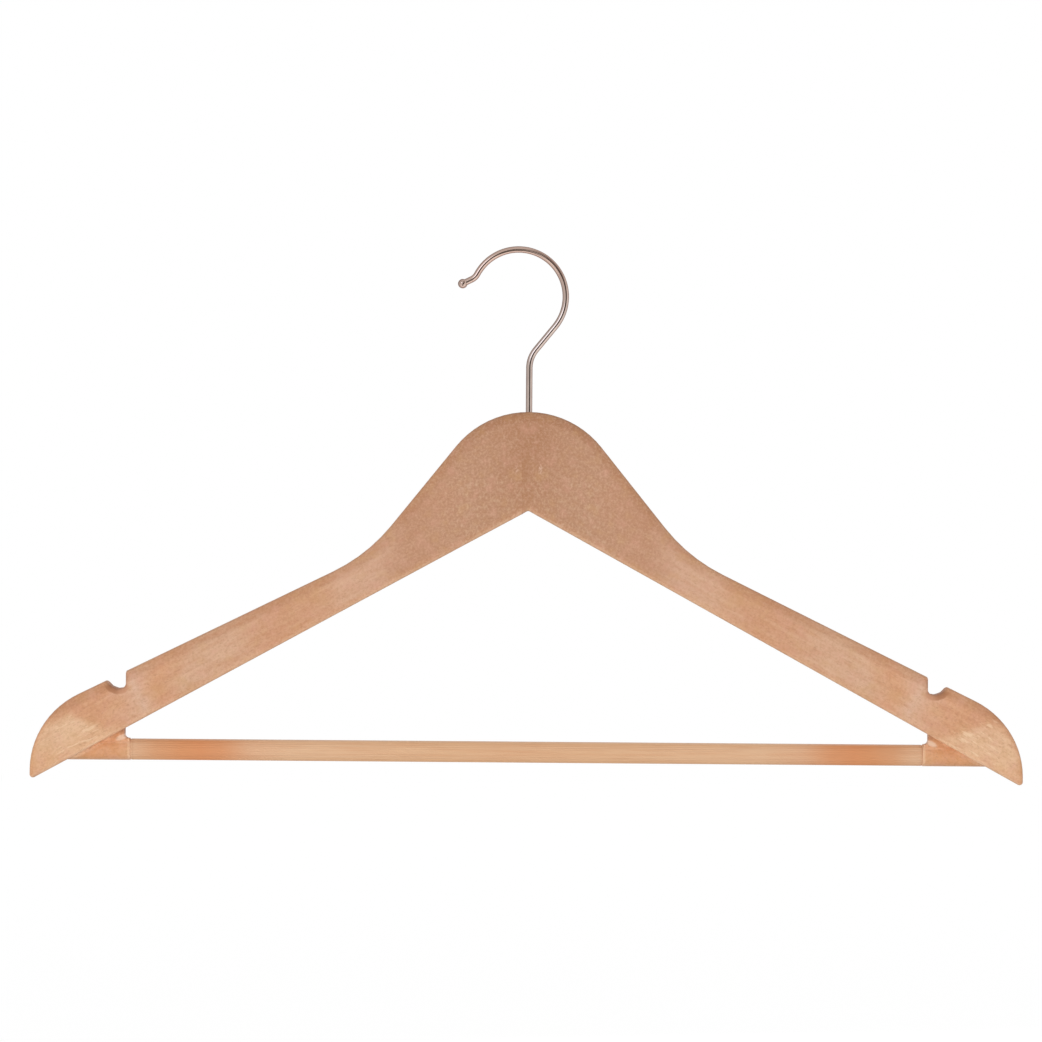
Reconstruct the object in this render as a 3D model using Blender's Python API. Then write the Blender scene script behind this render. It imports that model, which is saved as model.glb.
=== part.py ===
"""Curved wooden suit hanger with a swivelling wire hook and a fluted trouser bar.

Metres, +Z up, the front of the hanger towards -Y. The origin is the rail seat, the top of the inside of the
hook's loop, where the hanger rests on a rail. Everything else is placed from the crotch, the point of the inner
angle under the neck, which lies straight below the hook's shank.
"""
import math

import bmesh
import bpy
from mathutils import Vector

# Fits
gap = 0.0003                    # between pieces that touch
overrun = 0.004                 # by which a cutter or a joining form reaches past what it meets
weld_distance = 1e-7            # points closer than this are one point

# Body board, seen from the front
half_width = 0.225
neck_height = 0.0454            # crotch to the top of the dome
dome_radius = 0.0429
flank_angle = math.radians(51.2)
arm_top_angle = math.radians(26.17)
arm_bottom_angle = math.radians(28.77)
arm_top_height = 0.01535        # where the arm's top edge would cross the middle of the neck
neck_hollow_radius = 0.078      # inward curve from the neck's flank into the arm
crotch_radius = 0.0015
end_radius = 0.0376             # rounded shoulder end

# Body board, seen from above
board_thickness = 0.013
neck_straight = 0.030           # half the width over which the neck stays flat
forward_reach = 0.024           # by which the ends come forward of the neck
bend_stations = 20              # saw-line facets along each curved arm

# Worked edges
top_edge_radius = 0.003
bottom_edge_radius = 0.0018
tip_radius = 0.0015

# Strap notch
notch_inset = 0.0421            # arm's end to the notch's upright wall
notch_floor_length = 0.0036     # wall to the lowest point, along X
notch_ramp_length = 0.0026      # lowest point to the foot of the slope, along X
notch_ramp_rise = 0.001
notch_slope_length = 0.0026     # foot of the slope to the rounded lip, along X
notch_depth = 0.0062            # below the arm's top edge, at the lowest point
notch_floor_fall = 0.00045      # of the floor, from the wall to the lowest point
notch_mouth_radius = 0.0025
notch_floor_radius = 0.0022
notch_ramp_radius = 0.0015
notch_lip_radius = 0.0023
notch_mouth_lift = 0.00015      # the cutter's shoulders pass this far over the arm's top edge
notch_shoulder_lift = 0.0007
notch_rim_lift = 0.00005        # the cutter's worked edge ends this far outside the board's faces

# Glue joint between the two arms
joint_lap = 0.0028              # how far each lip reaches over the middle
joint_lip = 0.0024              # thickness of a lip

# Trouser bar and the lugs that hold it
bar_diameter = 0.0096
bar_drop = 0.01093              # arm's bottom edge over the lug's face to the bar's axis
bar_flutes = 30
bar_flute_depth = 0.00022
bar_edge = 0.0004
tenon_diameter = 0.006
tenon_length = 0.012
lug_diameter = 0.0099
lug_inset = 0.044               # arm's end to the lug's face
lug_recess = 0.0012             # lug behind the arm's front face
lug_back_inset = 0.0003         # lug within the board's back face
lug_buried = 0.0015             # how far the lug's round runs on inside the arm
web_setback = 0.0025            # web's inner edge behind the lug's face
web_hollow_radius = 0.0019      # where the web leaves the lug
web_thickness = 0.006

# Brads through the lugs
brad_diameter = 0.0012
brad_head_diameter = 0.0022
brad_head_height = 0.0005
brad_past_axis = 0.0022         # how far a brad's foot reaches past the tenon's axis

# Hook
wire_diameter = 0.003
shank_exposed = 0.0251          # dome to the corner of the crank
crank_angle = math.radians(50.9)
crank_bend_radius = 0.0133
loop_radius = 0.02173           # to the middle of the wire
loop_offset = 0.0052            # loop's centre to the side of the shank
loop_end_angle = math.radians(152)
curl_radius = 0.0056
curl_end_angle = math.radians(206)
curl_straight = 0.0046
ball_diameter = 0.0044
head_diameter = 0.0057
head_height = 0.0016
head_edge = 0.0004              # worked edge of the head

# Swivel bearing in the neck
shank_cover = 0.010             # wood left over the bush
bush_length = 0.016
bush_diameter = 0.005
washer_diameter = 0.0068
washer_thickness = 0.0008

# Facets
arc_step = math.radians(5)
edge_steps = 4                  # facets round a worked edge
lug_stations = 8                # facets along a lug's planed back
points_per_flute = 4
ball_steps = 9
round_sides = 32
small_round_sides = 20
wire_bevel_resolution = 6

# Places that follow from the sizes
half_board = board_thickness / 2
plan_span = half_width - neck_straight
plan_radius = (plan_span ** 2 + forward_reach ** 2) / (2 * forward_reach)
wire_radius = wire_diameter / 2
wire_clear_radius = wire_radius + gap
bush_bore_radius = bush_diameter / 2 + gap
washer_bore_radius = washer_diameter / 2 + gap
bearing_height = neck_height - shank_cover - bush_length - gap
washer_height = bearing_height - gap - washer_thickness
head_top_height = washer_height - gap
crank_height = neck_height + shank_exposed
loop_rise = (loop_radius - loop_offset * math.sin(crank_angle)) / math.cos(crank_angle)
loop_height = crank_height + loop_rise
seat_height = loop_height + loop_radius - wire_radius
notch_wall_x = half_width - notch_inset
notch_low_x = notch_wall_x + notch_floor_length
notch_ramp_x = notch_low_x + notch_ramp_length
notch_lip_x = notch_ramp_x + notch_slope_length
lug_radius = lug_diameter / 2
lug_face_x = half_width - lug_inset
bar_z = -lug_face_x * math.tan(arm_bottom_angle) - bar_drop
lug_end_x = (lug_radius - bar_z) / math.tan(arm_bottom_angle) + lug_buried
brad_x = lug_face_x + tenon_length / 2
brad_head_under = lug_radius - brad_head_height - gap


def arm_top(x):
    """Height of the arm's straight top edge."""
    return arm_top_height - x * math.tan(arm_top_angle)


def arm_bottom(x):
    """Height of the arm's straight bottom edge."""
    return -x * math.tan(arm_bottom_angle)


def plan(x):
    """How far forward of the neck the middle of the board lies at x."""
    along = max(0, abs(x) - neck_straight)
    return math.sqrt(plan_radius ** 2 - min(along, plan_radius) ** 2) - plan_radius


bar_y = plan(lug_face_x) - half_board + lug_recess + lug_radius


def clear_scene():
    for item in list(bpy.data.objects):
        bpy.data.objects.remove(item)


def material(name, colour, roughness, metallic):
    made = bpy.data.materials.new(name)
    made.use_nodes = True
    shader = made.node_tree.nodes["Principled BSDF"]
    shader.inputs["Base Color"].default_value = (*colour, 1)
    shader.inputs["Roughness"].default_value = roughness
    shader.inputs["Metallic"].default_value = metallic
    return made


def add_object(name, bm, parent, finish=None):
    """Turn a bmesh into an object. Without a finish it is a guide that only cuts or joins."""
    bmesh.ops.remove_doubles(bm, verts=bm.verts, dist=weld_distance)
    bmesh.ops.recalc_face_normals(bm, faces=bm.faces)
    mesh = bpy.data.meshes.new(name)
    bm.to_mesh(mesh)
    bm.free()
    made = bpy.data.objects.new(name, mesh)
    bpy.context.collection.objects.link(made)
    made.parent = parent
    if finish:
        mesh.materials.append(finish)
        mesh.shade_smooth()
        mesh.set_sharp_from_angle(angle=math.radians(30))
    else:
        made.hide_render = True
        made.display_type = "WIRE"
    return made


def boolean(piece, tool, operation):
    modifier = piece.modifiers.new(operation.lower() + " " + tool.name, "BOOLEAN")
    modifier.operation = operation
    modifier.object = tool
    modifier.solver = "EXACT"


def corner_arc(before, here, after, radius, inset_before=0, inset_after=0):
    """Points of one rounded corner of an anticlockwise outline, whose two edges are first moved inwards."""
    incoming = (here - before).normalized()
    outgoing = (after - here).normalized()
    turn = math.atan2(incoming.cross(outgoing), incoming.dot(outgoing))
    side = math.copysign(1, turn)
    inwards_before = Vector((-incoming.y, incoming.x)) * inset_before
    inwards_after = Vector((-outgoing.y, outgoing.x)) * inset_after
    shift = (inwards_after - inwards_before).cross(outgoing) / incoming.cross(outgoing)
    corner = here + inwards_before + incoming * shift
    left = max(0, radius - side * max(inset_before, inset_after))
    start = corner - incoming * left * math.tan(abs(turn) / 2)
    centre = start + Vector((-incoming.y, incoming.x)) * left * side
    steps = max(3, round(abs(turn) / arc_step)) if radius else 0
    spoke = start - centre
    points = []
    for step in range(steps + 1):
        angle = turn * step / max(1, steps)
        points.append(centre + Vector((spoke.x * math.cos(angle) - spoke.y * math.sin(angle),
                                       spoke.x * math.sin(angle) + spoke.y * math.cos(angle))))
    return points


def rounded_outline(corners, spread=0):
    """Closed outline through corners (x, z, radius), each corner an arc of its radius, grown outwards by spread."""
    spots = [Vector((x, z)) for x, z, radius in corners]
    outline = []
    for index, (x, z, radius) in enumerate(corners):
        outline += corner_arc(spots[index - 1], spots[index], spots[(index + 1) % len(spots)], radius,
                              -spread, -spread)
    return outline


def prism(outline, y_low, y_high):
    """An outline in X and Z, extruded along Y."""
    bm = bmesh.new()
    face = bm.faces.new([bm.verts.new((x, y_low, z)) for x, z in outline])
    pushed = bmesh.ops.extrude_face_region(bm, geom=[face])["geom"]
    moved = [item for item in pushed if isinstance(item, bmesh.types.BMVert)]
    bmesh.ops.translate(bm, verts=moved, vec=(0, y_high - y_low, 0))
    return bm


def turned(profile, sides):
    """A profile of (radius, height) pairs spun round the Z axis, closed where it doesn't start on the axis."""
    bm = bmesh.new()
    verts = [bm.verts.new((radius, 0, height)) for radius, height in profile]
    edges = [bm.edges.new(pair) for pair in zip(verts, verts[1:])]
    if profile[0][0]:
        edges.append(bm.edges.new((verts[-1], verts[0])))
    bmesh.ops.spin(bm, geom=verts + edges, cent=(0, 0, 0), axis=(0, 0, 1), angle=math.tau, steps=sides,
                   use_merge=True)
    return bm


def lofted(rings):
    """Skin over rings of points, each with the same number, with both ends closed."""
    bm = bmesh.new()
    loops = [[bm.verts.new(point) for point in ring] for ring in rings]
    for near, far in zip(loops, loops[1:]):
        for index in range(len(near)):
            bm.faces.new((near[index - 1], near[index], far[index], far[index - 1]))
    bm.faces.new(loops[0])
    bm.faces.new(loops[-1])
    bmesh.ops.remove_doubles(bm, verts=bm.verts, dist=weld_distance)
    return bm


def board_corners():
    """Front view of the whole body, anticlockwise: two arms, the domed neck and the crotch.

    Each corner is (x, z, radius, radius of the worked edge after it). The worked edge grows round the arm's end.
    """
    flank_top_x = dome_radius * math.tan(flank_angle / 2)
    flank = math.tan(flank_angle)
    hollow_x = (neck_height + flank * flank_top_x - arm_top_height) / (flank - math.tan(arm_top_angle))
    spots = [(half_width, arm_bottom(half_width), tip_radius),
             (half_width, arm_top(half_width), end_radius),
             (hollow_x, arm_top(hollow_x), neck_hollow_radius),
             (flank_top_x, neck_height, dome_radius)]
    top = top_edge_radius
    bottom = bottom_edge_radius
    right = [(x, z, radius, edge) for (x, z, radius), edge in zip(spots, (bottom, top, top, top))]
    left = [(-x, z, radius, edge) for (x, z, radius), edge in zip(reversed(spots), (top, top, bottom, bottom))]
    return [(0, 0, crotch_radius, bottom)] + right + left


def worked_ring(corners, angle, face):
    """Outline at one angle round the worked edge of the front (face -1) or back (face 1) of the flat board."""
    ring = []
    for index, (x, z, radius, edge_after) in enumerate(corners):
        before = corners[index - 1]
        after = corners[(index + 1) % len(corners)]
        edge_before = before[3]
        points = corner_arc(Vector(before[:2]), Vector((x, z)), Vector(after[:2]), radius,
                            edge_before * (1 - math.cos(angle)), edge_after * (1 - math.cos(angle)))
        for step, point in enumerate(points):
            edge = edge_before + (edge_after - edge_before) * step / max(1, len(points) - 1)
            ring.append((point.x, face * (half_board - edge * (1 - math.sin(angle))), point.y))
    return ring


def board_mesh():
    """The body as one board with worked edges, bent forward along both arms."""
    corners = board_corners()
    angles = [math.pi / 2 * step / edge_steps for step in range(edge_steps + 1)]
    rings = [worked_ring(corners, angle, -1) for angle in reversed(angles)]
    rings += [worked_ring(corners, angle, 1) for angle in angles]
    bm = lofted(rings)
    for station in range(bend_stations):
        along = neck_straight + plan_span * station / bend_stations
        for x in (-along, along):
            bmesh.ops.bisect_plane(bm, geom=bm.verts[:] + bm.edges[:] + bm.faces[:], dist=weld_distance,
                                   plane_co=(x, 0, 0), plane_no=(1, 0, 0))
    for vert in bm.verts:
        vert.co.y += plan(vert.co.x)
    return bm


def notch_cutter(side, parent):
    """Strap notch: upright wall, falling floor, and a ramp and a slope out over a rounded lip, with the arm's worked
    edge carried on round its front and back rims.
    """
    low = arm_top(notch_low_x) - notch_depth
    inner = notch_wall_x - overrun
    outer = notch_lip_x + overrun
    corners = [(inner, arm_top(inner) + notch_shoulder_lift, 0),
               (notch_wall_x, arm_top(notch_wall_x) + notch_mouth_lift, notch_mouth_radius),
               (notch_wall_x, low + notch_floor_fall, notch_floor_radius),
               (notch_low_x, low, notch_floor_radius),
               (notch_ramp_x, low + notch_ramp_rise, notch_ramp_radius),
               (notch_lip_x, arm_top(notch_lip_x) + notch_mouth_lift, notch_lip_radius),
               (outer, arm_top(outer) + notch_shoulder_lift, 0),
               (outer, arm_top(inner) + overrun, 0),
               (inner, arm_top(inner) + overrun, 0)]
    angles = [math.pi / 2 * step / edge_steps for step in range(edge_steps + 1)]
    half = [(half_board - top_edge_radius * (1 - math.sin(angle)), top_edge_radius * (1 - math.cos(angle)))
            for angle in angles[:-1]]
    half += [(half_board + notch_rim_lift, top_edge_radius), (half_board + overrun, top_edge_radius)]
    section = [(-depth, spread) for depth, spread in reversed(half)] + half
    rings = [[(side * x, plan(x) + depth, z) for x, z in rounded_outline(corners, spread)]
             for depth, spread in section]
    return add_object("notch_cutter", lofted(rings), parent)


def lug_form(side, parent):
    """Round lug under the arm, planed off within the board's back face."""
    rings = []
    for station in range(lug_stations + 1):
        x = lug_face_x + (lug_end_x - lug_face_x) * station / lug_stations
        back = plan(x) + half_board - lug_back_inset
        ring = []
        for index in range(round_sides):
            angle = math.tau * index / round_sides
            ring.append((side * x, min(bar_y + lug_radius * math.cos(angle), back),
                         bar_z + lug_radius * math.sin(angle)))
        rings.append(ring)
    return add_object("lug_form", lofted(rings), parent)


def web_form(side, parent):
    """Short web that carries the lug's face up into the arm, hollowed where it leaves the lug."""
    web_x = lug_face_x + web_setback
    start = lug_face_x + gap
    lug_top = bar_z + lug_radius
    deep = -lug_top / math.tan(arm_bottom_angle) + web_setback
    corners = [(start, bar_z, 0), (start, lug_top, 0), (web_x, lug_top, web_hollow_radius),
               (web_x, arm_bottom(web_x) + overrun, 0), (deep, arm_bottom(web_x) + overrun, 0), (deep, bar_z, 0)]
    outline = [(side * x, z) for x, z in rounded_outline(corners)]
    half = web_thickness / 2
    return add_object("web_form", prism(outline, bar_y - half, bar_y + half), parent)


def tenon_cutter(side, parent):
    """Blind hole in the lug for the bar's tenon."""
    depth = tenon_length + gap
    radius = tenon_diameter / 2 + gap
    made = add_object("tenon_cutter", turned([(0, -overrun), (radius, -overrun), (radius, depth), (0, depth)],
                                             round_sides), parent)
    made.location = (side * lug_face_x, bar_y, bar_z)
    made.rotation_euler = (0, side * math.pi / 2, 0)
    return made


def brad_cutter(side, parent):
    """Stepped hole from behind for the brad and its sunk head."""
    shank = brad_diameter / 2 + gap
    head = brad_head_diameter / 2 + gap
    seat = brad_head_under - gap
    foot = -brad_past_axis - gap
    profile = [(0, foot), (shank, foot), (shank, seat), (head, seat), (head, lug_radius + overrun),
               (0, lug_radius + overrun)]
    made = add_object("brad_cutter", turned(profile, small_round_sides), parent)
    made.location = (side * brad_x, bar_y, bar_z)
    made.rotation_euler = (-math.pi / 2, 0, 0)
    return made


def neck_bore_cutter(parent):
    """Stepped bore down the neck: shank hole, bush seat, and the open well for washer and head."""
    top = neck_height + overrun
    bush_top = bearing_height + bush_length + gap
    foot = -overrun
    profile = [(0, foot), (washer_bore_radius, foot), (washer_bore_radius, bearing_height),
               (bush_bore_radius, bearing_height), (bush_bore_radius, bush_top),
               (wire_clear_radius, bush_top), (wire_clear_radius, top), (0, top)]
    return add_object("neck_bore_cutter", turned(profile, round_sides), parent)


def joint_cutter(side, parent):
    """Takes away the other arm along the stepped glue joint, leaving half of the glue gap."""
    lip_y = half_board - joint_lip
    shift = side * gap / 2
    far_y = board_thickness
    far_x = -side * (half_width + overrun)
    stair = [(-joint_lap, -far_y), (-joint_lap, -lip_y), (0, -lip_y), (0, lip_y), (joint_lap, lip_y),
             (joint_lap, far_y)]
    plan_outline = [(x + shift, y - (shift if abs(y) < far_y else 0)) for x, y in stair]
    plan_outline += [(far_x, far_y), (far_x, -far_y - forward_reach), (-joint_lap + shift, -far_y - forward_reach)]
    bm = bmesh.new()
    low = arm_bottom(half_width) - overrun
    high = neck_height + overrun
    face = bm.faces.new([bm.verts.new((x, y, low)) for x, y in plan_outline])
    pushed = bmesh.ops.extrude_face_region(bm, geom=[face])["geom"]
    moved = [item for item in pushed if isinstance(item, bmesh.types.BMVert)]
    bmesh.ops.translate(bm, verts=moved, vec=(0, 0, high - low))
    return add_object("joint_cutter", bm, parent)


def add_arm(name, side, parent, neck_bore, finish):
    """One half of the body: side is -1 for the left arm and 1 for the right arm."""
    arm = add_object(name, board_mesh(), parent, finish)
    boolean(arm, joint_cutter(side, parent), "DIFFERENCE")
    boolean(arm, lug_form(side, parent), "UNION")
    boolean(arm, web_form(side, parent), "UNION")
    boolean(arm, notch_cutter(side, parent), "DIFFERENCE")
    boolean(arm, tenon_cutter(side, parent), "DIFFERENCE")
    boolean(arm, brad_cutter(side, parent), "DIFFERENCE")
    boolean(arm, neck_bore, "DIFFERENCE")
    return arm


def add_trouser_bar(parent, finish):
    """Fluted bar with a turned tenon at each end, bored across for its brads."""
    points = bar_flutes * points_per_flute
    body = lug_face_x - gap
    tip = lug_face_x + tenon_length

    def ring(x, radius, flute_depth):
        made = []
        for index in range(points):
            angle = math.tau * index / points
            cut = flute_depth * (1 - math.cos(bar_flutes * angle)) / 2
            made.append((x, (radius - cut) * math.cos(angle), (radius - cut) * math.sin(angle)))
        return made

    bar = bar_diameter / 2
    tenon = tenon_diameter / 2
    half = [(tip, tenon - bar_edge, 0), (tip - bar_edge, tenon, 0), (body, tenon, 0), (body, bar - bar_edge, 0),
            (body - bar_edge, bar, bar_flute_depth)]
    rings = [ring(*station) for station in half]
    rings += [ring(-x, radius, depth) for x, radius, depth in reversed(half)]
    made = add_object("trouser_bar", lofted(rings), parent, finish)
    made.location = (0, bar_y, bar_z)
    return made


def add_brad(name, side, parent, finish):
    """Thin brad driven from behind through the lug and the tenon."""
    shank = brad_diameter / 2
    head = brad_head_diameter / 2
    foot = -brad_past_axis
    profile = [(0, foot), (shank, foot), (shank, brad_head_under), (head, brad_head_under),
               (head, brad_head_under + brad_head_height), (0, brad_head_under + brad_head_height)]
    made = add_object(name, turned(profile, small_round_sides), parent, finish)
    made.location = (side * brad_x, bar_y, bar_z)
    made.rotation_euler = (-math.pi / 2, 0, 0)
    return made


def add_bush(parent, finish):
    bore = wire_clear_radius
    wall = bush_diameter / 2
    profile = [(bore, 0), (wall, 0), (wall, bush_length), (bore, bush_length)]
    made = add_object("swivel_bush", turned(profile, small_round_sides), parent, finish)
    made.location = (0, 0, bearing_height)
    return made


def add_washer(parent, finish):
    bore = wire_clear_radius
    edge = washer_diameter / 2
    profile = [(bore, 0), (edge, 0), (edge, washer_thickness), (bore, washer_thickness)]
    made = add_object("hook_washer", turned(profile, small_round_sides), parent, finish)
    made.location = (0, 0, washer_height)
    return made


def arc(centre, radius, start, end):
    """Points along an arc in X and Z, its start left out, because the stretch before it ends there."""
    steps = max(3, round(abs(end - start) / arc_step))
    angles = [start + (end - start) * (step + 1) / steps for step in range(steps)]
    return [(centre[0] + radius * math.cos(angle), centre[1] + radius * math.sin(angle)) for angle in angles]


def wire_route():
    """Middle of the wire from the top of its head to the middle of the ball."""
    quarter = math.pi / 2
    turn = quarter - crank_angle
    bend_start = crank_height - crank_bend_radius * math.tan(turn / 2)
    loop_centre = (-loop_offset, loop_height)
    route = [(0, head_top_height), (0, bend_start)]
    route += arc((crank_bend_radius, bend_start), crank_bend_radius, math.pi, math.pi - turn)
    loop_start = crank_angle - quarter
    route.append((loop_centre[0] + loop_radius * math.cos(loop_start),
                  loop_centre[1] + loop_radius * math.sin(loop_start)))
    route += arc(loop_centre, loop_radius, loop_start, loop_end_angle)
    reach = loop_radius + curl_radius
    curl_centre = (loop_centre[0] + reach * math.cos(loop_end_angle),
                   loop_centre[1] + reach * math.sin(loop_end_angle))
    route += arc(curl_centre, curl_radius, loop_end_angle - math.pi, curl_end_angle + quarter - math.tau)
    route.append((route[-1][0] + curl_straight * math.cos(curl_end_angle),
                  route[-1][1] + curl_straight * math.sin(curl_end_angle)))
    return route


def add_hook(parent, finish):
    """One wire: an upset head, the shank, the crank, the loop, the curl and a ball end."""
    route = [(x, z, wire_radius) for x, z in wire_route()]
    head = head_diameter / 2
    head_foot = head_top_height - head_height
    foot = [(0, head_foot, head - head_edge), (0, head_foot + head_edge, head),
            (0, head_top_height - head_edge, head), (0, head_top_height - head_edge / 2, head - head_edge)]
    ball = ball_diameter / 2
    middle = Vector(route[-1][:2])
    along = Vector((math.cos(curl_end_angle), math.sin(curl_end_angle)))
    neck = math.asin(wire_radius / ball)
    tip = []
    for step in range(ball_steps):
        angle = neck + (math.pi - arc_step - neck) * step / (ball_steps - 1)
        point = middle - along * ball * math.cos(angle)
        tip.append((point.x, point.y, ball * math.sin(angle)))
    points = foot + route[:-1] + tip
    curve = bpy.data.curves.new("hook", "CURVE")
    curve.dimensions = "3D"
    curve.bevel_depth = 1
    curve.bevel_resolution = wire_bevel_resolution
    curve.use_fill_caps = True
    spline = curve.splines.new("POLY")
    spline.points.add(len(points) - 1)
    for target, (x, z, radius) in zip(spline.points, points):
        target.co = (x, 0, z, 1)
        target.radius = radius
    curve.materials.append(finish)
    made = bpy.data.objects.new("hook", curve)
    bpy.context.collection.objects.link(made)
    made.parent = parent
    return made


clear_scene()
wood = material("beech", (0.58, 0.32, 0.19), 0.45, 0)
bar_wood = material("beech bar", (0.66, 0.35, 0.19), 0.5, 0)
nickel = material("nickelled steel", (0.66, 0.61, 0.57), 0.2, 1)

crotch = bpy.data.objects.new("crotch", None)
bpy.context.collection.objects.link(crotch)
crotch.location = (loop_offset, 0, -seat_height)

neck_bore = neck_bore_cutter(crotch)
add_arm("left_arm", -1, crotch, neck_bore, wood)
add_arm("right_arm", 1, crotch, neck_bore, wood)
bar = add_trouser_bar(crotch, bar_wood)
for name, side in (("bar_brad_left", -1), ("bar_brad_right", 1)):
    boolean(bar, brad_cutter(side, crotch), "DIFFERENCE")
    add_brad(name, side, crotch, nickel)
add_bush(crotch, nickel)
add_washer(crotch, nickel)
add_hook(crotch, nickel)
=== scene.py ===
import math

import bmesh
import bpy
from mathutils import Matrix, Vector


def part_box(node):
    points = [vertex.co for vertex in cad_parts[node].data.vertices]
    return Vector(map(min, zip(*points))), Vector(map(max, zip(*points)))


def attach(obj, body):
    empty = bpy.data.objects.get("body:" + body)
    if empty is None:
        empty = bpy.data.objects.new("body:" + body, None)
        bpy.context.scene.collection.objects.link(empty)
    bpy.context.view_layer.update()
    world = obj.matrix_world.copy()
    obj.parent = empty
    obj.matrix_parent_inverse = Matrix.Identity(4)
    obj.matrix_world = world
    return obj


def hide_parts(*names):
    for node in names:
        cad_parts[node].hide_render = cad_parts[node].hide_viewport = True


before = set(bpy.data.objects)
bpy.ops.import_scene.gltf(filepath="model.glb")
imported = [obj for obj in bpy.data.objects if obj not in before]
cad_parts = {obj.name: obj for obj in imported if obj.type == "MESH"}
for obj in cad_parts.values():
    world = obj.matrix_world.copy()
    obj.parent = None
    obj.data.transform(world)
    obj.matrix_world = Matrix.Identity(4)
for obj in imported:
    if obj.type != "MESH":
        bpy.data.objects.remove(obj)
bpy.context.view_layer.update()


# Camera and room
# The hanger is seen square from the front, from a long way off, with the camera at its own height.
# It hangs over a plain white floor in a white room, with soft lamps left and right of the camera.
left_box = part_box("left_arm")
right_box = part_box("right_arm")
middle_x = (left_box[0].x + right_box[1].x) / 2
half_width = (right_box[1].x - left_box[0].x) / 2
neck_height = 0.0454
crotch_z = right_box[1].z - neck_height

camera_distance = 1.6
aim_left = 0.0034
aim_down = 0.0048
camera_aim = Vector((middle_x - aim_left, 0, crotch_z - aim_down))
camera_rise = math.radians(0.5)
camera_roll = math.radians(0.46)
camera_data = bpy.data.cameras.new("camera")
camera_data.sensor_width = 36
camera_data.lens = 119.9
camera = bpy.data.objects.new("camera", camera_data)
bpy.context.collection.objects.link(camera)
camera.location = camera_aim + Vector((0, -math.cos(camera_rise), math.sin(camera_rise))) * camera_distance
camera.rotation_euler = (math.pi / 2 - camera_rise, -camera_roll, 0)
bpy.context.scene.camera = camera
bpy.context.scene.view_settings.view_transform = "Standard"


def area_light(name, place, size, power):
    """A square soft lamp at a place, facing the hanger."""
    data = bpy.data.lights.new(name, "AREA")
    data.size = size
    data.energy = power
    light = bpy.data.objects.new(name, data)
    bpy.context.collection.objects.link(light)
    light.location = place
    light.rotation_euler = (camera_aim - Vector(place)).to_track_quat("-Z", "Y").to_euler()
    light.visible_glossy = False


area_light("key light", place=(-1.1, -1.8, -0.25), size=1.0, power=15)
area_light("fill light", place=(1.3, -1.7, -0.15), size=1.0, power=9)
area_light("back light", place=(-0.4, 2.3, 0.1), size=1.4, power=13)


class Signal:
    """One output of a shader node. A sum or product of signals adds its Math node."""

    def __init__(self, tree, socket=None):
        self.tree = tree
        self.socket = socket

    def node(self, kind, settings=(), inputs=(), output=0):
        """Add a node: its settings first, then the values or links of its sockets. Gives back one output."""
        made = self.tree.nodes.new("ShaderNode" + kind)
        for name, value in dict(settings).items():
            if name == "stops":
                elements = made.color_ramp.elements
                for place, colour in value[1:-1]:
                    elements.new(place).color = colour
                for end in (0, -1):
                    elements[end].position, elements[end].color = value[end]
            else:
                setattr(made, name, value)
        for name, value in dict(inputs).items():
            if isinstance(value, Signal):
                self.tree.links.new(value.socket, made.inputs[name])
            else:
                made.inputs[name].default_value = value
        return Signal(self.tree, made.outputs[output])

    def also(self, name):
        """Another output of the same node."""
        return Signal(self.tree, self.socket.node.outputs[name])

    def into(self, node, name):
        """Link this signal to a socket of a node that is already there."""
        self.tree.links.new(self.socket, node.inputs[name])

    def maths(self, operation, *others):
        """A Math node on this signal and up to two more signals or numbers."""
        return self.node("Math", {"operation": operation}, enumerate((self, *others)))

    def __add__(self, other):
        return self.maths("ADD", other)

    __radd__ = __add__

    def __mul__(self, other):
        return self.maths("MULTIPLY", other)

    __rmul__ = __mul__

    def __sub__(self, other):
        return self.maths("SUBTRACT", other)

    def __rsub__(self, other):
        return self.node("Math", {"operation": "SUBTRACT"}, {0: other, 1: self})

    def __truediv__(self, other):
        return self.maths("DIVIDE", other)

    def between(self, start, full):
        """0 up to start, 1 from full on, and a smooth step between them. Full may be the lower of the two."""
        return self.node("MapRange", {"interpolation_type": "SMOOTHSTEP"},
                         {"Value": self, "From Min": start, "From Max": full})

    def blended(self, blend_type, factor, first, second):
        """Two colours in one. A Mix node takes them in sockets 6 and 7 and gives the colour as output 2."""
        return self.node("Mix", {"data_type": "RGBA", "blend_type": blend_type},
                         {0: factor, 6: first, 7: second}, 2)

    def mixed(self, first, second, blend_type="MIX"):
        """Colour first where this signal is 0, colour second where it is 1."""
        return self.blended(blend_type, self, first, second)

    def ramp(self, *stops):
        """A colour that changes with this signal: each stop is a value from 0 to 1 and its colour."""
        return self.node("ValToRGB", {"stops": stops}, {"Fac": self})

    def axes(self):
        """The X, Y and Z of this point or direction."""
        x = self.node("SeparateXYZ", (), {"Vector": self}, "X")
        return x, x.also("Y"), x.also("Z")

    def noise(self, scale, detail=2, roughness=0.5):
        """Soft noise round 0.5 at this point. Its patches are about 1 / scale metres across."""
        return self.node("TexNoise", (), {"Vector": self, "Scale": scale, "Detail": detail,
                                          "Roughness": roughness})


def seen_directly(signal):
    """Two masks: what is seen straight, in a mirror or through glass, and what is seen in a mirror alone."""
    straight = signal.node("LightPath", output="Is Camera Ray")
    mirrored = straight.also("Is Glossy Ray")
    seen = straight.maths("MAXIMUM", mirrored).maths("MAXIMUM", straight.also("Is Transmission Ray"))
    return seen, mirrored


def towards(direction, centre, inner, outer):
    """1 in the directions within the inner angle of a centre, in degrees, and 0 beyond the outer angle."""
    nearness = direction.node("VectorMath", {"operation": "DOT_PRODUCT"},
                              {0: direction, 1: Vector(centre).normalized()}, "Value")
    return nearness.between(math.cos(math.radians(outer)), math.cos(math.radians(inner)))


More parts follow.
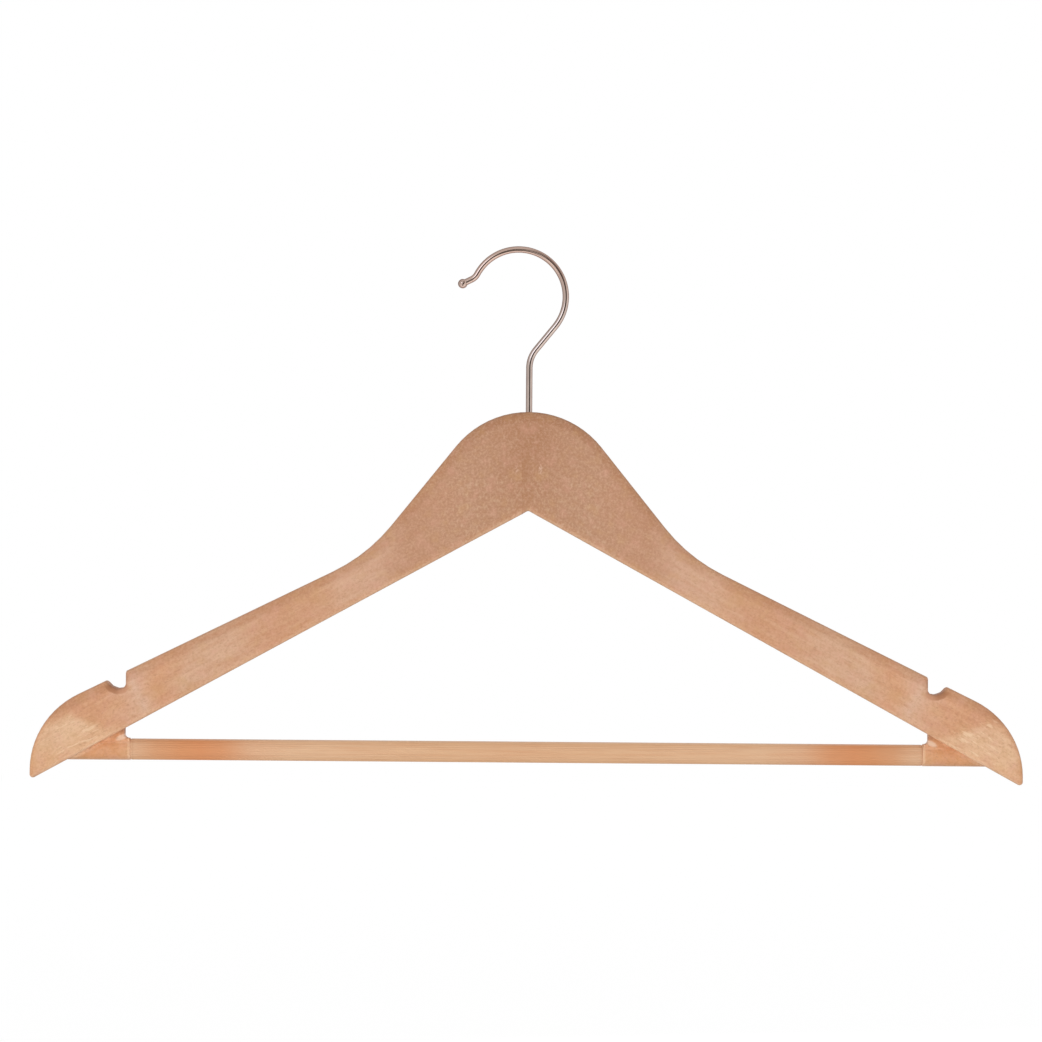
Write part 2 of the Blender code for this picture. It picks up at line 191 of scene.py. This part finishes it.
white = (1, 1, 1, 1)
lens_dark = (0.05, 0.04, 0.035, 1)
wall_dark = (0.5, 0.42, 0.4, 1)
corner_dark = (0.2, 0.145, 0.135, 1)
lamp_glow = (2.6, 2.9, 3.4, 1)
lens_side = (0.29, -0.95, 0.02)
stand_side = (0.0, -0.8, -0.6)
corner_side = (0.55, -0.6, 0.58)
lamp_side = (-0.38, -0.87, 0.3)
low_front = (0.1, -0.3, -0.95)
low_front_gain = 0.35
brighter_right = 0.16
darker_up = 0.08
room_level = 0.96


def mirrored_room(direction):
    """What the polished wire mirrors in each direction: pale walls, a dark lens, a lamp and a dark corner."""
    right, back, up = direction.axes()
    tone = (back * 0.5 + 0.5).ramp((0.0, white), (0.5, white), (0.66, wall_dark), (0.93, wall_dark),
                                   (1.0, white))
    for centre, inner, outer, strength, shade in ((lens_side, 18, 24, 0.98, lens_dark),
                                                  (stand_side, 13, 24, 0.9, lens_dark),
                                                  (corner_side, 12, 32, 0.85, corner_dark)):
        tone = (towards(direction, centre, inner, outer) * strength).mixed(tone, shade)
    bright = right * brighter_right - up * darker_up + room_level
    bright = bright + towards(direction, low_front, inner=10, outer=50) * low_front_gain
    tone = tone.blended("MULTIPLY", 1, tone, bright)
    return towards(direction, lamp_side, inner=7, outer=14).mixed(tone, lamp_glow)


soft_light = 0.62
world = bpy.data.worlds.new("white room")
world.use_nodes = True
bpy.context.scene.world = world
world.node_tree.nodes.remove(world.node_tree.nodes["Background"])
room = Signal(world.node_tree)
room_seen, room_mirrored = seen_directly(room)
room_tone = mirrored_room(room.node("TexCoord", output="Generated"))
room_seen_light = room.node("Background", (), {"Color": room_mirrored.mixed(white, room_tone), "Strength": 1})
room_soft_light = room.node("Background", (), {"Color": white, "Strength": soft_light})
room.node("MixShader", (), {0: room_seen, 1: room_soft_light, 2: room_seen_light}).into(
    world.node_tree.nodes["World Output"], "Surface")

floor_drop = 0.75
floor_size = 12
floor_grey = (0.7, 0.7, 0.7, 1)
floor_glow = 0.547
far_floor_glow = 0.018
far_floor_start = 1
far_floor_full = 5
hook_middle = (middle_x, 0, -0.03)
floor_bm = bmesh.new()
bmesh.ops.create_grid(floor_bm, x_segments=1, y_segments=1, size=floor_size / 2)
bmesh.ops.translate(floor_bm, verts=floor_bm.verts, vec=(middle_x, 0, -floor_drop))
floor_mesh = bpy.data.meshes.new("floor")
floor_bm.to_mesh(floor_mesh)
floor_bm.free()
floor = bpy.data.objects.new("floor", floor_mesh)
bpy.context.collection.objects.link(floor)
floor_paint = bpy.data.materials.new("white floor")
floor_paint.use_nodes = True
floor_shader = floor_paint.node_tree.nodes["Principled BSDF"]
floor_shader.inputs["Roughness"].default_value = 1
floor_shader.inputs["Specular IOR Level"].default_value = 0
floor_seen, floor_mirrored = seen_directly(Signal(floor_paint.node_tree))
# In the wire's mirror the floor shows a painted reflection of the room, by direction from the hook: pale
# walls, a dark lens and corner, and a lamp's glow
floor_place = floor_seen.node("TexCoord", output="Object")
from_hook = floor_place.node("VectorMath", {"operation": "SUBTRACT"}, {0: floor_place, 1: hook_middle})
mirrored_room_on_floor = mirrored_room(from_hook.node("VectorMath", {"operation": "NORMALIZE"}, {0: from_hook}))
floor_mirrored.mixed(floor_grey, mirrored_room_on_floor, "MULTIPLY").into(floor_shader, "Base Color")
floor_mirrored.mixed(white, mirrored_room_on_floor, "MULTIPLY").into(floor_shader, "Emission Color")
far_off = from_hook.node("VectorMath", {"operation": "LENGTH"}, {0: from_hook}, "Value")
far_off = far_off.between(far_floor_start, far_floor_full)
(floor_seen * (far_off * far_floor_glow + floor_glow)).into(floor_shader, "Emission Strength")
floor_mesh.materials.append(floor_paint)


# Body: two arms in fine-grained beech, glued together at the neck
# Each arm was sawn and worked from one board, with its round lug, web and strap notch in the same wood.
# The glue joint is closed here, and its line is in the wood's colour, as it shows under the varnish.
def srgb(red, green, blue):
    """A colour given as it looks on screen, from 0 to 255, in the linear values that a shader takes."""
    shares = [value / 255 for value in (red, green, blue)]
    return [share / 12.92 if share < 0.04045 else ((share + 0.055) / 1.055) ** 2.4 for share in shares] + [1]


def new_material(name):
    """A material with one Principled shader: gives back the material, its shader and the object's points."""
    made = bpy.data.materials.new(name)
    made.use_nodes = True
    place = Signal(made.node_tree).node("TexCoord", output="Object")
    return made, made.node_tree.nodes["Principled BSDF"], place


def point(x, y, z):
    """One point from three signals."""
    return x.node("CombineXYZ", (), {"X": x, "Y": y, "Z": z})


def squares(out, up):
    """Two signals squared and added, which is the square of a distance."""
    return out * out + up * up


def coated(colour, *coats):
    """A colour under thin coats laid on in turn: where each shows, how strongly, and its colour on screen."""
    for shown, strength, tint in coats:
        colour = (shown * strength).mixed(colour, srgb(*tint))
    return colour


# Tones of the wood along the arm: the neck's browns carry painted shade, and the round end's pale carries
# painted light
neck_shaded_brown = srgb(179, 132, 101)
neck_tan = srgb(187, 143, 114)
neck_side = srgb(189, 142, 112)
arm_start = srgb(206, 163, 136)
arm_tan = srgb(205, 154, 120)
arm_orange = srgb(211, 157, 120)
arm_pink = srgb(211, 169, 139)
end_pink = srgb(218, 179, 153)
end_lit_pale = srgb(226, 186, 150)
dome_radius = 0.0429
flank_angle = math.radians(51.2)
hollow_reach = 0.011
arm_top_height = 0.01535
arm_top_angle = math.radians(26.17)
arm_top_slope = math.tan(arm_top_angle)
arm_bottom_angle = math.radians(28.77)
end_radius = 0.0376
grain_angle = math.radians(27.6)
joint_lap = 0.0028
joint_lip_y = 0.0041
glue_gap = 0.0003
notch_wall = half_width - 0.0421
lug_face = half_width - 0.044
tip_start = half_width - 0.02
tip_full = half_width - 0.012
web_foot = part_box("trouser_bar")[1].z - crotch_z + 0.0004
crease_rise = web_foot - 0.0013

# Places are in metres: reach from the middle, rise over the neck's inner angle, along and across the grain.
# Side is -1 on the left arm and 1 on the right, whose marks lie a little apart. A mask is named for what it
# covers and fades in between two distances.
body_wood, body_shader, place = new_material("beech body")
x, y, z = place.axes()
reach = (x - middle_x).maths("ABSOLUTE")
side = (x - middle_x).maths("SIGN")
rise = z - crotch_z
along = reach * math.cos(grain_angle) - rise * math.sin(grain_angle)
across = reach * math.sin(grain_angle) + rise * math.cos(grain_angle)
over_bottom = (rise + reach * math.tan(arm_bottom_angle)) * math.cos(arm_bottom_angle)

# Broad tones from the brown neck to the tip, and the paler round end from a slanting line on
# The darker neck is partly painted shade and the paler round end partly painted light, besides the wood's own
# tone
cloud = point(reach, y, rise).noise(scale=42, detail=3)
tone_blur = 0.03
end_line_lean = 0.35
end_line_blur = 0.008
colour = ((reach + (cloud - 0.5) * tone_blur) / half_width).ramp(
    (0.0, neck_shaded_brown), (0.13, neck_tan), (0.2, neck_side), (0.235, neck_side), (0.288, arm_start),
    (0.38, arm_pink), (0.445, arm_tan), (0.51, arm_tan), (0.6, arm_pink), (0.68, arm_pink),
    (0.73, arm_orange), (0.785, end_pink), (0.85, arm_orange), (1.0, arm_orange))
towards_tip = reach * end_line_lean - rise + (cloud - 0.5) * end_line_blur
line_shift = side * 0.0007
low_shift = over_bottom.between(0.008, 0.002) * (0.0012 - side * 0.0006)
tip_shift = side * 0.004
lit_pale_end = (towards_tip - line_shift - low_shift).between(0.1648, 0.1693)
warm_tip = (towards_tip - tip_shift).between(0.187, 0.1925)
colour = coated(lit_pale_end.mixed(colour, end_lit_pale), (warm_tip, 0.75, (219, 172, 134)))

# The depth under the outline: of the dome, its flanks, the hollow, the straight arm and the round end
over_dome_centre = rise - (neck_height - dome_radius)
under_dome = dome_radius - squares(reach, over_dome_centre).maths("SQRT")
under_flank = dome_radius - reach * math.sin(flank_angle) - over_dome_centre * math.cos(flank_angle)
past_dome = reach * math.cos(flank_angle) - over_dome_centre * math.sin(flank_angle)
under_neck = under_dome + (under_flank - under_dome) * past_dome.maths("GREATER_THAN", 0)
under_arm = (arm_top_height - reach * arm_top_slope - rise) * math.cos(arm_top_angle)
under_top = under_neck.maths("SMOOTH_MAX", under_arm, hollow_reach)
end_centre_reach = half_width - end_radius
end_centre_rise = arm_top_height - end_centre_reach * arm_top_slope - end_radius / math.cos(arm_top_angle)
end_out = reach - end_centre_reach
end_up = rise - end_centre_rise
past_arm = (end_out * math.cos(arm_top_angle) - end_up * math.sin(arm_top_angle)).maths("GREATER_THAN", 0)
under_end = end_radius - squares(end_out, end_up).maths("SQRT")
under_outline = under_top + (under_end - under_top) * past_arm

# Bands along the worked edges, with painted shade on the rims, a painted lighter bottom edge, and painted
# shade on the dome
band_inside = side * 0.002 + 0.0105
band_outside = side * 0.001 + 0.0048
end_band = past_arm * under_end.between(band_inside, band_outside) * towards_tip.between(0.176, 0.168)
end_foot = over_bottom.between(0.011, 0.004) * reach.between(0.186, 0.194)
end_foot_strength = 0.2 - side * 0.06
tip_foot = over_bottom.between(0.0065, 0.002) * reach.between(tip_start, tip_full)
# Painted shade along the rounded rims of the end, the outline and the bottom, and along the top edge
shaded_end_rim = past_arm * under_end.between(0.0022, 0.0008)
shaded_outline_rim = under_outline.between(0.0045, 0.0005)
shaded_bottom_rim = over_bottom.between(0.0045, 0.0005)
weaker_at_corner = under_top.between(0.0018, 0.0008) * -0.6 + 1
shaded_top_band = under_top.between(0.0058, 0.003) * weaker_at_corner
# Painted light along the arm's bottom edge, whose rounding faces down and away from the lamps
lit_bottom_edge = over_bottom.between(0.0018, 0.0006) * over_bottom.between(-0.0004, 0.0002)
dome_middle = reach.between(0.014, 0.004) * rise.between(0.02, 0.038)
dome_rim = reach.between(0.04, 0.02) * under_top.between(0.0046, 0.003)
colour = coated(colour,
                (end_band, 0.65, (206, 150, 116)),
                (end_foot, end_foot_strength, (212, 154, 106)),
                (tip_foot, 0.4, (232, 188, 150)),
                (shaded_end_rim, 0.4, (200, 144, 106)),
                (shaded_outline_rim, 0.4, (206, 150, 108)),
                (shaded_bottom_rim, 0.25, (214, 158, 116)),
                (shaded_top_band, 0.36, (166, 116, 82)),
                (lit_bottom_edge, 0.45, (238, 196, 158)),
                (dome_middle, 0.3, (170, 122, 90)),
                (dome_rim, 0.35, (150, 104, 74)))

# The lug under the arm: its own redder tone and pale rim, painted light on the crease and the arm edge over
# it, painted shadow in the web's corner and a painted highlight in it
lug = over_bottom.between(0.0001, -0.0004) * reach.between(lug_face - 0.002, lug_face - 0.0005)
# Painted light along the arm's edge just over the lug, which lies in shade there
lit_edge_over_lug = over_bottom.between(0.0026, 0.0008) * reach.between(lug_face - 0.006, lug_face + 0.001)
lit_edge_over_lug = lit_edge_over_lug * reach.between(tip_full, tip_start)
lit_edge_over_lug_strength = reach.between(lug_face + 0.007, lug_face + 0.011) * 0.45 + 0.05
by_face = lug * reach.between(lug_face + 0.007, lug_face + 0.001)
# Painted light on the crease at the web's foot and on the arm's edge over the lug, both in shade
lit_crease = rise.between(crease_rise - 0.0014, crease_rise - 0.0004)
lit_crease = lit_crease * rise.between(crease_rise + 0.0001, crease_rise)
edge_lag = 0.0045
edge_start = over_bottom.between(0.0002, -0.0006) * edge_lag + lug_face
edge_light_strength = 1.25 - side * 0.35
lit_arm_edge = over_bottom.between(-0.0022, -0.0006) * over_bottom.between(0.0012, 0)
lit_arm_edge = lit_arm_edge * reach.between(edge_start + 0.002, edge_start + 0.007)
lit_arm_edge = lit_arm_edge * reach.between(0.209, 0.206) * edge_light_strength
lug_rim = lug * reach.between(lug_face + 0.0012, lug_face + 0.0006)
# Painted shadow in the web's corner under the arm's edge
shaded_web_corner = reach.between(lug_face + 0.006, lug_face + 0.0032)
shaded_web_corner = shaded_web_corner * rise.between(web_foot + 0.0008, web_foot + 0.0028)
lug_foot = rise.between(crease_rise - 0.0075, crease_rise - 0.0088)
# A painted highlight on the web's concave foot
web_highlight_reach = 0.0038
web_highlight_rise = 0.0003
web_highlight_lean = 0.36
web_highlight_length = 0.0026
web_highlight_height = 0.0013
web_highlight_out = (reach - lug_face - web_highlight_reach) / web_highlight_length
web_highlight_up = (rise - web_foot - web_highlight_rise + (reach - lug_face - web_highlight_reach) * web_highlight_lean) / web_highlight_height
web_highlight = squares(web_highlight_out, web_highlight_up).between(1.6, 0.1)
colour = coated(colour,
                (lit_edge_over_lug, lit_edge_over_lug_strength, (246, 202, 162)),
                (lug, 0.92, (213, 151, 104)),
                (by_face, 0.3, (226, 178, 142)),
                ((lit_crease * lug).maths("MAXIMUM", lit_arm_edge), 0.5, (252, 206, 166)),
                (lug_rim, 0.7, (236, 194, 156)),
                (shaded_web_corner * lug, 0.5, (160, 108, 80)),
                (lug_foot * lug, 0.45, (240, 200, 172)),
                (web_highlight * lug, 0.8, (240, 212, 186)))

# The grain: streaks and flecks drawn out along the arm, speckle and blotches all over, pale wisps on the
# round end, curls on the neck, and one small pale mark near its middle
streak = point(along * 0.07, y * side, across).noise(scale=520, detail=3, roughness=0.6)
streaky = reach.between(0.03, 0.1) * 0.75 - lug * 0.5 + 0.25
fleck = point(along * 0.3, y * side, across * 1.2).noise(scale=1500, detail=1)
speckle = place.noise(scale=900, roughness=0.7)
speckled = reach.between(0.07, 0.03) * 0.5 + 0.88
blotch = point(reach, y, rise + 0.4).noise(scale=150)
wisp = point(along * 0.12, y * side, across).noise(scale=800).between(0.56, 0.66)
end_wisp = wisp * reach.between(0.189, 0.196) * reach.between(0.216, 0.21)
end_wisp = end_wisp * towards_tip.between(0.164, 0.1685)
curl = point(reach, y, rise * 0.6).noise(scale=620, roughness=0.6).between(0.5, 0.7)
neck_curl = curl * reach.between(0.05, 0.03) * rise.between(0.022, 0.012)
mark_reach = 0.0054
mark_width = 0.0008
mark_rise = 0.019
mark_height = 0.0026
neck_mark = squares((reach - mark_reach) / mark_width, (rise - mark_rise) / mark_height).between(1.4, 0.2)
colour = coated(colour,
                (streak.between(0.4, 0.75) * streaky, 0.36, (190, 128, 90)),
                (streak.between(0.48, 0.25) * streaky, 0.28, (226, 186, 150)),
                (fleck.between(0.6, 0.7), 0.24, (158, 104, 72)),
                (speckle.between(0.45, 0.75) * speckled, 0.24, (222, 184, 158)),
                (speckle.between(0.55, 0.3) * speckled, 0.26, (166, 114, 80)),
                (blotch.between(0.5, 0.75), 0.3, (216, 162, 140)),
                (blotch.between(0.5, 0.25), 0.3, (202, 158, 110)),
                (end_wisp * over_bottom.between(0, 0.001), 0.5, (240, 208, 172)),
                (neck_curl, 0.35, (212, 178, 148)),
                (neck_mark * speckle.between(0.4, 0.6), 0.5, (222, 186, 164)))

# The glue joint: a faint line where the arms meet, beside the middle, and a strip of painted shade to the
# right of it
past_seam = x - (y.maths("SIGN") * joint_lap + middle_x)
seam = past_seam.maths("ABSOLUTE").between(0.0003, 0.0001)
shade_strip = past_seam.between(-0.0002, 0.0002) * past_seam.between(0.0042, 0.0018)
seam_shown = place.noise(scale=260).between(0.3, 0.6) * rise.between(0.033, 0.024)
colour = coated(colour,
                (seam * seam_shown, 0.25, (160, 108, 76)),
                (shade_strip * seam_shown, 0.4, (170, 122, 88)))

# The strap notch: its sawn floor is browner than the worked edge, partly in painted shade, and painted darker
# away from the notch's wall
facing_up = reach.node("NewGeometry", output="Normal").axes()[2].between(0.06, 0.3)
sawn_and_shaded = facing_up * under_top.between(0.0012, 0.003) * reach.between(notch_wall - 0.0035, notch_wall)
sawn_and_shaded = sawn_and_shaded * reach.between(notch_wall + 0.012, notch_wall + 0.009) * over_bottom.between(0.002, 0.004)
shade_from_wall = reach.between(notch_wall + 0.001, notch_wall + 0.005)
sawn_and_shaded_tone = shade_from_wall.mixed(srgb(196, 142, 110), srgb(168, 112, 76))
colour = (sawn_and_shaded * 0.75).mixed(colour, sawn_and_shaded_tone)

# Satin varnish, which lies a little unevenly over the grain
satin = 0.5
satin_change = 0.12
varnish_gloss = 0.3
grain_bump = 0.12
bump_depth = 0.0002
colour.into(body_shader, "Base Color")
(satin + (streak - 0.5) * satin_change).into(body_shader, "Roughness")
body_shader.inputs["Specular IOR Level"].default_value = varnish_gloss
relief = streak * 0.5 + speckle * 0.5
relief.node("Bump", (), {"Height": relief, "Strength": grain_bump, "Distance": bump_depth}).into(
    body_shader, "Normal")

weld = 1e-6


def merged_copy(node):
    """A copy of a CAD node with its triangles joined into one skin."""
    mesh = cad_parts[node].data.copy()
    mesh.materials.clear()
    mesh.attributes.remove(mesh.attributes["custom_normal"])
    bm = bmesh.new()
    bm.from_mesh(mesh)
    bmesh.ops.remove_doubles(bm, verts=bm.verts, dist=weld)
    bm.to_mesh(mesh)
    bm.free()
    return mesh


def finished(name, mesh, paint, body, slot, *replaced, sharp=40):
    """Make an object of a mesh, smooth but for edges sharper than an angle in degrees, and let it ride."""
    mesh.name = name
    mesh.materials.append(paint)
    mesh.shade_smooth()
    mesh.set_sharp_from_angle(angle=math.radians(sharp))
    made = bpy.data.objects.new(name, mesh)
    bpy.context.collection.objects.link(made)
    even = made.modifiers.new("even shading", "WEIGHTED_NORMAL")
    even.keep_sharp = True
    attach(made, body)
    if replaced:
        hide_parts(*replaced)


half_gap = glue_gap / 2
near = 2e-6
for node, hand in (("left_arm", -1), ("right_arm", 1)):
    arm_mesh = merged_copy(node)
    for vert in arm_mesh.vertices:
        for plane in (-joint_lap, 0, joint_lap):
            if abs(vert.co.x - middle_x - plane - hand * half_gap) < near:
                vert.co.x = middle_x + plane
        by_joint = abs(vert.co.x - middle_x) < joint_lap + glue_gap
        for plane in (-joint_lip_y, joint_lip_y):
            if by_joint and abs(vert.co.y - plane + hand * half_gap) < near:
                vert.co.y = plane
    finished(node + "_beech", arm_mesh, body_wood, "hanger_body", "body_wood", node, sharp=32)


# Trouser bar: a ribbed beech dowel between the lugs
# It is turned from a redder length of the same wood, and fine flutes keep trousers from slipping.
bar_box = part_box("trouser_bar")
bar_radius = (bar_box[1].z - bar_box[0].z) / 2
bar_place = Vector((middle_x, bar_box[0].y + bar_radius, bar_box[0].z + bar_radius))
bar_blur = 0.012
lit_rim_warmth = (1.04, 1.01, 0.97, 1)
bar_satin = 0.52
bar_satin_change = 0.1
bar_grain_bump = 0.15
bar_paint, bar_shader, place = new_material("beech bar")
x, y, z = place.axes()
reach = (x - middle_x).maths("ABSOLUTE")
height = z - bar_place.z
cloud = point(x * 0.5, y, z).noise(scale=60, detail=3)
colour = ((reach + (cloud - 0.5) * bar_blur) / half_width).ramp(
    (0.0, srgb(219, 175, 137)), (0.15, srgb(219, 176, 138)), (0.48, srgb(221, 180, 144)),
    (0.56, srgb(218, 171, 135)), (0.62, srgb(214, 150, 106)), (0.66, srgb(214, 145, 99)),
    (0.7, srgb(213, 147, 101)), (0.75, srgb(212, 156, 115)), (0.79, srgb(217, 174, 139)),
    (1.0, srgb(217, 174, 139)))
grain = point(x * 0.04, y, z).noise(scale=900, detail=3, roughness=0.6)
colour = coated(colour, (grain.between(0.4, 0.75), 0.3, (196, 134, 94)))
# Painted light and shade: the bar's rims are painted lighter and warmer, its very top lighter still, and by
# each lug a band of painted shade and a painted lighter shoulder
colour = height.maths("ABSOLUTE").between(0.0022, 0.0045).mixed(colour, lit_rim_warmth, "MULTIPLY")
side = (x - middle_x).maths("SIGN")
from_face = lug_face - reach + side * 0.0002
top_light = height.between(0.004, 0.0046)
shoulder_shade = from_face.between(0.0018, 0.0012) * from_face.between(0.0004, 0.0008)
shoulder_light = from_face.between(0.0007, 0.0004)
colour = coated(colour,
                (top_light, 0.4, (240, 214, 190)),
                (shoulder_shade, 0.22, (188, 132, 96)),
                (shoulder_light, 0.6, (240, 198, 160)))
colour.into(bar_shader, "Base Color")
(bar_satin + (grain - 0.5) * bar_satin_change).into(bar_shader, "Roughness")
bar_shader.inputs["Specular IOR Level"].default_value = varnish_gloss
grain.node("Bump", (), {"Height": grain, "Strength": bar_grain_bump, "Distance": bump_depth}).into(
    bar_shader, "Normal")
finished("trouser_bar_beech", merged_copy("trouser_bar"), bar_paint, "hanger_body", "bar_wood",
         "trouser_bar", sharp=50)


# Glue rings: what was squeezed out where the bar's shoulders meet the lugs
# Dried wood glue, pale and slightly glossy, fills the hairline between bar and lug.
ring_lug_radius = 0.00488
ring_crown_radius = 0.00487
ring_bar_radius = 0.00474
ring_inner_radius = 0.0038
ring_steps = 48
glue_gloss = 0.4
glue_roughness = 0.3
bead_roughness = 0.15
glue, glue_shader, place = new_material("dried glue")
bead = place.noise(scale=900)
bead.between(0.3, 0.7).mixed(srgb(226, 176, 138), srgb(236, 192, 156)).into(glue_shader, "Base Color")
(glue_roughness + bead * bead_roughness).into(glue_shader, "Roughness")
glue_shader.inputs["Specular IOR Level"].default_value = glue_gloss
for name, hand in (("glue_ring_left", -1), ("glue_ring_right", 1)):
    profile = [(0, ring_lug_radius), (half_gap, ring_crown_radius), (glue_gap, ring_bar_radius),
               (glue_gap, ring_inner_radius), (0, ring_inner_radius)]
    ring_bm = bmesh.new()
    rim_verts = [ring_bm.verts.new((hand * (lug_face - depth), 0, radius)) for depth, radius in profile]
    rim_edges = [ring_bm.edges.new(pair) for pair in zip(rim_verts, rim_verts[1:] + rim_verts[:1])]
    bmesh.ops.spin(ring_bm, geom=rim_verts + rim_edges, cent=(0, 0, 0), axis=(1, 0, 0), angle=math.tau,
                   steps=ring_steps, use_merge=True)
    bmesh.ops.recalc_face_normals(ring_bm, faces=ring_bm.faces)
    bmesh.ops.translate(ring_bm, verts=ring_bm.verts, vec=bar_place)
    ring_mesh = bpy.data.meshes.new(name)
    ring_bm.to_mesh(ring_mesh)
    ring_bm.free()
    finished(name, ring_mesh, glue, "hanger_body", "body_wood")


# Hook: one nickelled steel wire
# It is bent cold from 3 mm wire, with a ball end on the curl and an upset head at the foot, on the washer.
wire_radius = 0.0015
crank_angle = math.radians(50.9)
crank_bend_radius = 0.0133
crank_height = neck_height + 0.0251
loop_radius = 0.02173
loop_offset = 0.0052
loop_end_angle = math.radians(152)
curl_radius = 0.0056
curl_end_angle = math.radians(206)
curl_straight = 0.0046
ball_radius = 0.0022
ball_steps = 18
ball_end = math.radians(178)
head_radius = 0.00285
head_height = 0.0016
head_edge = 0.0004
head_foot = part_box("hook")[0].z - crotch_z
warmth_start = crotch_z + 0.085
warmth_full = crotch_z + 0.115
polish = 0.08
polish_change = 0.05

nickel, nickel_shader, place = new_material("nickelled steel")
z = place.axes()[2]
cloud = place.noise(scale=250, detail=3)
colour = cloud.between(0.35, 0.65).mixed(srgb(190, 172, 163), srgb(198, 181, 171))
colour = coated(colour, (z.between(warmth_start, warmth_full), 0.6, (196, 164, 148)))
colour.into(nickel_shader, "Base Color")
(polish + place.noise(scale=500) * polish_change).into(nickel_shader, "Roughness")
nickel_shader.inputs["Metallic"].default_value = 1


def arc(centre, radius, start, end):
    """Points about every two and a half degrees along an arc in X and Z, its start left out."""
    steps = max(3, 2 * round(abs(end - start) / math.radians(5)))
    angles = [start + (end - start) * (step + 1) / steps for step in range(steps)]
    return [(centre[0] + radius * math.cos(angle), centre[1] + radius * math.sin(angle)) for angle in angles]


def heading(angle):
    """A step of length 1 at an angle in X and Z."""
    return Vector((math.cos(angle), math.sin(angle)))


quarter = math.pi / 2
crank_turn = quarter - crank_angle
crank_start = crank_height - crank_bend_radius * math.tan(crank_turn / 2)
loop_height = crank_height + (loop_radius - loop_offset * math.sin(crank_angle)) / math.cos(crank_angle)
loop_centre = Vector((-loop_offset, loop_height))
loop_start = crank_angle - quarter
curl_centre = loop_centre + heading(loop_end_angle) * (loop_radius + curl_radius)
route = [(0, head_foot + head_height), (0, crank_start)]
route += arc((crank_bend_radius, crank_start), crank_bend_radius, math.pi, math.pi - crank_turn)
route += [tuple(loop_centre + loop_radius * heading(loop_start))]
route += arc(loop_centre, loop_radius, loop_start, loop_end_angle)
route += arc(curl_centre, curl_radius, loop_end_angle - math.pi, curl_end_angle + quarter - math.tau)
curl_along = heading(curl_end_angle)
ball_middle = Vector(route[-1]) + curl_along * curl_straight
stations = [(0, head_foot, head_radius - head_edge), (0, head_foot + head_edge, head_radius),
            (0, head_foot + head_height - head_edge, head_radius),
            (0, head_foot + head_height - head_edge / 2, head_radius - head_edge)]
stations += [(out, up, wire_radius) for out, up in route]
ball_start = math.asin(wire_radius / ball_radius)
for step in range(ball_steps + 1):
    angle = ball_start + (ball_end - ball_start) * step / ball_steps
    on_ball = ball_middle - curl_along * ball_radius * math.cos(angle)
    stations.append((on_ball.x, on_ball.y, ball_radius * math.sin(angle)))
wire = bpy.data.curves.new("hook wire", "CURVE")
wire.dimensions = "3D"
wire.bevel_depth = 1
wire.bevel_resolution = 14
wire.use_fill_caps = True
spline = wire.splines.new("POLY")
spline.points.add(len(stations) - 1)
for target, (out, up, radius) in zip(spline.points, stations):
    target.co = (middle_x + out, 0, crotch_z + up, 1)
    target.radius = radius
wire_object = bpy.data.objects.new("hook wire", wire)
bpy.context.collection.objects.link(wire_object)
bpy.context.view_layer.update()
hook_mesh = bpy.data.meshes.new_from_object(wire_object.evaluated_get(bpy.context.evaluated_depsgraph_get()))
bpy.data.objects.remove(wire_object)
hook_bm = bmesh.new()
hook_bm.from_mesh(hook_mesh)
bmesh.ops.remove_doubles(hook_bm, verts=hook_bm.verts, dist=weld)
bmesh.ops.recalc_face_normals(hook_bm, faces=hook_bm.faces)
hook_bm.to_mesh(hook_mesh)
hook_bm.free()
finished("hook_wire", hook_mesh, nickel, "hook", "nickelled_steel", "hook")


# Swivel and brads: the small steel fittings in the wood
# The bush and washer carry the hook's head inside the neck, and a sunk brad behind each lug locks the bar.
for node in ("swivel_bush", "hook_washer", "bar_brad_left", "bar_brad_right"):
    finished(node + "_steel", merged_copy(node), nickel, "hanger_body", "nickelled_steel", node)
